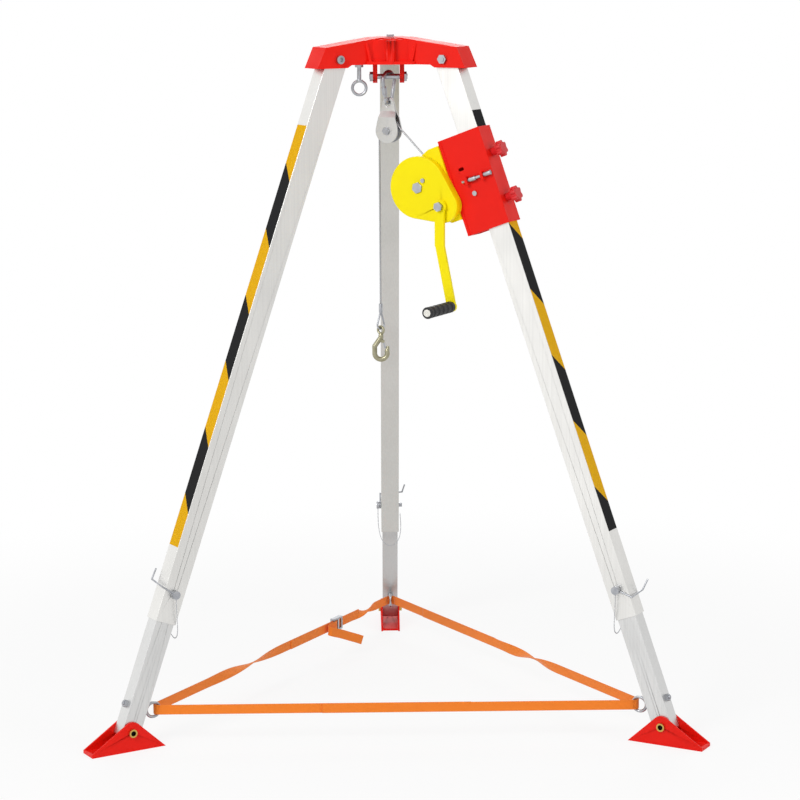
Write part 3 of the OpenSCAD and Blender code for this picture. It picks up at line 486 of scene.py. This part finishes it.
# pin chains: bead chain from the lock pin's head, in a loop under the leg to a rivet
# the route's points are [out, across, up] from the pin
chain = dict(bead=2.8, pitch=4.2, wire=1.0, sides=10, ringsPerBead=10, pinDown=1452.0,
             route=[[0, 36, -11.4], [0, 36, -28], [-1, 35.5, -46], [-2, 34.5, -64], [-4, 32, -82], [-6, 27.5, -99],
                    [-8, 19, -114], [-9, 8, -122], [-9, 0, -123.5], [-9, -8, -122], [-8, -19, -114],
                    [-6, -27.5, -99], [-4, -31, -82], [-2.5, -32, -64], [-1, -31.5, -46], [0.5, -30.5, -33],
                    [0.8, -30, -26]])


# beads on a wire: the radius follows half circles, never under the wire's own
def beadRadius(s):
    x = (s / (chain["pitch"] * mm)) % 1 - 0.5
    half = chain["bead"] / 2 * mm
    return np.maximum(np.sqrt(np.maximum(half**2 - (x * chain["pitch"] * mm) ** 2, 0)), chain["wire"] / 2 * mm)


def pinChain(leg):
    pin = onLeg(leg, 0, 0, chain["pinDown"])
    out, across, up = (np.array(chain["route"]) * mm).T[..., None]
    path = smoothPath(pin + out * outward(leg) + across * axisOf("pin_pull_" + leg) + up * zUp,
                      chain["pitch"] / chain["ringsPerBead"] * mm)
    s = lengthAlong(path)
    angle = turn(chain["sides"])
    profile = beadRadius(s)[:, None, None] * np.stack([np.cos(angle), np.sin(angle)], -1)[None]
    piece = skin("pin_chain_" + leg, carry(path, outward(leg), profile), s,
                 np.linspace(0, 1, chain["sides"] + 1), zincSteel)
    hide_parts("lanyard_" + leg)
    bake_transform(piece)


for leg in legs:
    pinChain(leg)
print("pin chains made")

# ground strap: one loop round each leg's eye and two arms, the arm behind on the outer layer
strap = dict(width=26.0, thick=2.0, corner=0.35, middle=0.88, sides=28, layer=2.3, bend=12.0, step=4.0,
             eyeDown=1760.0, eyeIn=53.6, loopIn=17.0, loopHalf=60.0, loopSteps=40)
# heading is from outward and offset from the loop's centre; for each leg, the length, the share kept at full fold,
# and the middle and length of a half twist
strapArms = dict(
    ahead=dict(heading=150, offset=-strap["bend"], length=dict(left=817.0, right=1075.0, back=560.0),
               keep=dict(left=0.396, right=0.301, back=0.577),
               twist=dict(right=(514.0, 300.0), back=(140.0, 150.0))),
    behind=dict(heading=210, offset=strap["bend"] + strap["layer"],
                length=dict(left=1075.0, right=817.0, back=560.0),
                keep=dict(left=0.301, right=0.396, back=0.577),
                twist=dict(left=(441.0, 420.0))))


# webbing section: a flat oval, |cos| and |sin| to the power of corner, thickness = middle + (1 - middle) x^4
def webbingProfile(c):
    angle = turn(c["sides"])
    x = np.sign(np.cos(angle)) * np.abs(np.cos(angle)) ** c["corner"]
    y = np.sign(np.sin(angle)) * np.abs(np.sin(angle)) ** c["corner"]
    thick = c["middle"] + (1 - c["middle"]) * x**4
    return np.stack([c["width"] / 2 * x, c["thick"] / 2 * y * thick], -1)[None] * mm


webbing = webbingProfile(strap)
webbingAround = np.linspace(0, 2 * (strap["width"] + strap["thick"]) * mm, webbing.shape[1] + 1)


def strapCentre(leg):
    eye = onLeg(leg, -strap["eyeIn"], 0, strap["eyeDown"])
    return eye - strap["loopIn"] * mm * outward(leg)


# level directions at a leg: angle 0 is outward, growing towards its across axis
def levelAt(leg, degrees):
    a = np.radians(np.asarray(degrees, float))[..., None]
    return np.cos(a) * outward(leg) + np.sin(a) * axisOf("fold_" + leg)


# an arm runs straight from the loop; its half twist eases in as 3 t^2 - 2 t^3
def strapArm(way, leg):
    arm = strapArms[way]
    run, aside = levelAt(leg, arm["heading"]), levelAt(leg, arm["heading"] + 90)
    x = np.linspace(0, arm["length"][leg], int(arm["length"][leg] / strap["step"]) + 1) * mm
    path = strapCentre(leg) + x[:, None] * run + arm["offset"] * mm * aside
    twist = np.zeros(len(x))
    if leg in arm["twist"]:
        middle, span = arm["twist"][leg]
        share = np.clip((x / mm - middle) / span + 0.5, 0, 1)
        twist = math.pi * share**2 * (3 - 2 * share)
    grid = carry(path, np.cross(zUp, run), webbing, twist)
    piece = skin("strap_%s_%s" % (way, leg), grid, x, webbingAround, orangeWebbing)
    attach(piece, "leg_%s_lower" % leg)
    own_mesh(piece)


# the loop's radius grows by one layer from end to end
def strapLoop(leg):
    angle = np.linspace(strap["loopHalf"], -strap["loopHalf"], strap["loopSteps"])
    radius = strap["bend"] + strap["layer"] * np.linspace(0, 1, strap["loopSteps"])
    path = strapCentre(leg) + (radius * mm)[:, None] * levelAt(leg, angle)
    grid = carry(path, levelAt(leg, angle), webbing)
    piece = skin("strap_loop_" + leg, grid, lengthAlong(path), webbingAround, orangeWebbing)
    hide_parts("strap_" + leg)
    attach(piece, "leg_%s_lower" % leg)


for leg in legs:
    strapLoop(leg)
    strapArm("ahead", leg)
    strapArm("behind", leg)

# the strap's tail: out of the buckle, folded over and left loose
# the route's points are [along the run, towards the axis, up] from the loop
tail = dict(leg="back", heading=strapArms["ahead"]["heading"], step=2.0,
            route=[[305.5, -9.6, 0], [309, -7.8, 0], [313, -5.6, 0], [318, -4.6, 0], [330, -4.2, 0], [350, -4, 0],
                   [364, -3, -1], [371, 2.5, -3], [367, 9, -6], [354, 13, -11], [330, 20, -20], [300, 29, -33],
                   [272, 38, -45], [250, 44, -55]])


def strapTail(c):
    run, aside = levelAt(c["leg"], c["heading"]), levelAt(c["leg"], c["heading"] + 90)
    ahead, inward, up = (np.array(c["route"]) * mm).T[..., None]
    path = smoothPath(strapCentre(c["leg"]) + ahead * run + inward * aside + up * zUp, c["step"] * mm)
    grid = carry(path, np.cross(zUp, np.gradient(path, axis=0)), webbing)
    piece = skin("strap_tail", grid, lengthAlong(path), webbingAround, orangeWebbing)
    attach(piece, "leg_%s_lower" % c["leg"])
    return round(lengthAlong(path)[-1], 3)


print("strap made, tail", strapTail(tail), "m")

# hazard tape on the outer faces, in bands that slant at 45 degrees; first is the share of a band pair at its top
tape = dict(width=49.0, thick=0.12, above=30.02, edge=0.1, rows=60, band=180.0, slope=-1.0,
            start=dict(left=189.0, right=150.0, back=189.0), end=dict(left=1332.0, right=1300.0, back=1332.0),
            first=dict(left=0.144, right=0.578, back=0.0))


def hazardBand(leg):
    down = np.linspace(tape["start"][leg], tape["end"][leg], tape["rows"])
    half, thick = tape["width"] / 2, tape["thick"]
    top = half - tape["edge"]
    corner = np.array([[0, -half], [0, half], [thick, top], [thick, -top]])
    grid = onLeg(leg, tape["above"] + corner[None, :, 0], corner[None, :, 1], down[:, None])
    material = hazardTape("hazardTape_" + leg, tape["band"], tape["slope"], tape["first"][leg])
    around = np.array([-half, half, half, -half, -half]) * mm
    piece = skin("hazard_tape_" + leg, grid, (down - down[0]) * mm, around, material, smooth=False)
    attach(piece, "leg_%s_upper" % leg)


for leg in legs:
    hazardBand(leg)
print("tape made")

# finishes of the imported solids, and the radius that each node's edges are eased to
finish = {
    "head_casting": (redCast, 2.6), "winch_bracket": (redSheet, 1.6), "gear_cover": (yellowSheet, 2.5),
    "winch_frame": (yellowSheet, 1.0), "crank_arm": (yellowSheet, 1.6), "clamp_knob_upper": (redKnob, 1.2),
    "clamp_knob_lower": (redKnob, 1.2), "handle_grip": (blackGrip, 1.0), "grip_cap": (whiteCap, 1.5),
    "pulley_cheeks": (stainlessSheet, 0.8), "sheave": (machinedSteel, 0.6), "drum": (machinedSteel, 0.6),
    "drum_gear": (machinedSteel, 0.0), "pinion_shaft": (machinedSteel, 0.0), "ratchet_wheel": (machinedSteel, 0.0),
    "pawl": (machinedSteel, 0.4), "hook": (yellowZinc, 0.0), "hook_latch": (zincSteel, 0.3),
    "carabiner": (zincSteel, 0.0), "carabiner_gate": (zincSteel, 0.3),
}
plainFinish = (zincSteel, 0.3)
# the back leg stands in the front legs' shade, painted here as darker tones on its tubes: (darker, lighter) tones
# for each tube
frontTone = dict(upper=("#DCDBD8", "#E8E7E4"), lower=("#D2D2D1", "#DDDDDC"))
paintedShadeBackTone = dict(upper=("#C8C7C3", "#D3D2CE"), lower=("#BDBDBC", "#C8C8C7"))
# the back leg takes the darker tones that carry its painted shade
tubeTone = dict(left=frontTone, right=frontTone, back=paintedShadeBackTone)
for leg in legs:
    finish["upper_tube_" + leg] = (anodisedTube("anodisedUpperTube_" + leg, leg, *tubeTone[leg]["upper"]), 2.0)
    finish["lower_tube_" + leg] = (anodisedTube("anodisedLowerTube_" + leg, leg, *tubeTone[leg]["lower"]), 2.0)
    finish["foot_" + leg] = (redSheet, 1.0)
    finish["foot_bolt_" + leg] = (socketBolt("goldSocketBolt_" + leg, "foot_tilt_" + leg), 0.4)

# sharp edges are rounded; the weld joins the loose triangles first
eased = dict(angle=35.0, segments=3, weld=0.01)


def easeEdges(piece, radius):
    if radius <= 0:
        return
    weld = piece.modifiers.new("weld", "WELD")
    weld.merge_threshold = eased["weld"] * mm
    bevel = piece.modifiers.new("eased edges", "BEVEL")
    bevel.width, bevel.segments, bevel.limit_method = radius * mm, eased["segments"], "ANGLE"
    bevel.angle_limit = math.radians(eased["angle"])
    bevel.use_clamp_overlap = True
    bevel.harden_normals = True


for name, node in nodes.items():
    material, radius = finish.get(name, plainFinish)
    node.data.materials.clear()
    node.data.materials.append(material)
    if not node.hide_render:
        easeEdges(node, radius)
print("finishes set")

# stage: pale floor and white surround; what bright metal mirrors is dimmer on the right-hand side
stage = dict(floor="#F4F4F4", floorSize=14.0, floorReach=3.0, floorLight=1.0, nearby=0.9, faraway=2.4,
             nearShare=0.84, worldReach=1.0, worldLight=0.42, mirrorLeft=1.14, mirrorRight=0.92)
# soft disc lamps: metres and watts
lamps = dict(key=dict(place=(-3.2, -4.5, 4.2), aim=(0, 0, 0.9), size=2.6, power=170.0),
             fill=dict(place=(4.2, -3.0, 2.6), aim=(0, 0, 0.9), size=3.0, power=60.0, mirrored=False),
             back=dict(place=(0.5, 4.5, 4.0), aim=(0, 0, 1.0), size=3.0, power=70.0))


# the surround's strength: 1 for the camera and through glass, graded from left to right in mirror rays, or else as
# given; seen is 1 in all of those rays
def surroundStrength(tree, c, sideways, reach, otherwise):
    ray = addNode(tree, "ShaderNodeLightPath").outputs
    graded = remap(tree, sideways, -reach, reach, c["mirrorLeft"], c["mirrorRight"])
    mirrored = mixValue(tree, ray["Is Glossy Ray"], otherwise, graded)
    plain = calc(tree, "MAXIMUM", ray["Is Camera Ray"], ray["Is Transmission Ray"])
    seen = calc(tree, "MAXIMUM", plain, ray["Is Glossy Ray"])
    return mixValue(tree, plain, mirrored, 1.0), seen


def makeFloor(c):
    mesh = bpy.data.meshes.new("floor")
    h = c["floorSize"]
    mesh.from_pydata([(-h, -h, 0), (h, -h, 0), (h, h, 0), (-h, h, 0)], [], [(0, 1, 2, 3)])
    floor = bpy.data.objects.new("floor", mesh)
    bpy.context.scene.collection.objects.link(floor)
    material = bpy.data.materials.new("paleFloor")
    material.use_nodes = True
    tree = material.node_tree
    tree.nodes.clear()
    plain = addNode(tree, "ShaderNodeBsdfDiffuse", {"Color": hexColor(c["floor"])})
    place = addNode(tree, "ShaderNodeTexCoord").outputs["Object"]
    sideways = addNode(tree, "ShaderNodeSeparateXYZ", {0: place}).outputs[0]
    strength, seen = surroundStrength(tree, c, sideways, c["floorReach"], c["floorLight"])
    glow = addNode(tree, "ShaderNodeEmission", {"Color": (1, 1, 1, 1), "Strength": strength})
    # the shadow fades out with the distance from the object, so that the floor runs into the white surround
    distance = addNode(tree, "ShaderNodeVectorMath", {0: place}, operation="LENGTH")
    glowing = addNode(tree, "ShaderNodeMapRange", {0: distance.outputs["Value"], 1: c["nearby"], 2: c["faraway"],
                                                   3: c["nearShare"], 4: 1.0}, interpolation_type="SMOOTHSTEP")
    share = calc(tree, "MULTIPLY", seen, glowing.outputs[0])
    both = addNode(tree, "ShaderNodeMixShader", {0: share, 1: plain.outputs[0], 2: glow.outputs[0]})
    addNode(tree, "ShaderNodeOutputMaterial", {0: both.outputs[0]})
    mesh.materials.append(material)


def makeWorld(c):
    world = bpy.data.worlds.new("surround")
    bpy.context.scene.world = world
    world.use_nodes = True
    tree = world.node_tree
    tree.nodes.clear()
    direction = addNode(tree, "ShaderNodeTexCoord").outputs["Generated"]
    sideways = addNode(tree, "ShaderNodeSeparateXYZ", {0: direction}).outputs[0]
    strength, _ = surroundStrength(tree, c, sideways, c["worldReach"], c["worldLight"])
    light = addNode(tree, "ShaderNodeBackground", {"Color": (1, 1, 1, 1), "Strength": strength})
    addNode(tree, "ShaderNodeOutputWorld", {0: light.outputs[0]})


def makeLamp(name, place, aim, size, power, mirrored=True):
    data = bpy.data.lights.new(name, "AREA")
    data.shape, data.size, data.energy = "DISK", size, power
    lamp = bpy.data.objects.new(name, data)
    lamp.visible_glossy = mirrored
    bpy.context.scene.collection.objects.link(lamp)
    back = unit(np.array(place) - np.array(aim))
    across = unit(np.cross(zUp, back))
    up = np.cross(back, across)
    lamp.matrix_world = Matrix([[across[i], up[i], back[i], place[i]] for i in range(3)] + [[0, 0, 0, 1]])


makeFloor(stage)
makeWorld(stage)
for name, lamp in lamps.items():
    makeLamp(name, **lamp)
bpy.context.scene.view_settings.view_transform = "Standard"
print("stage set")
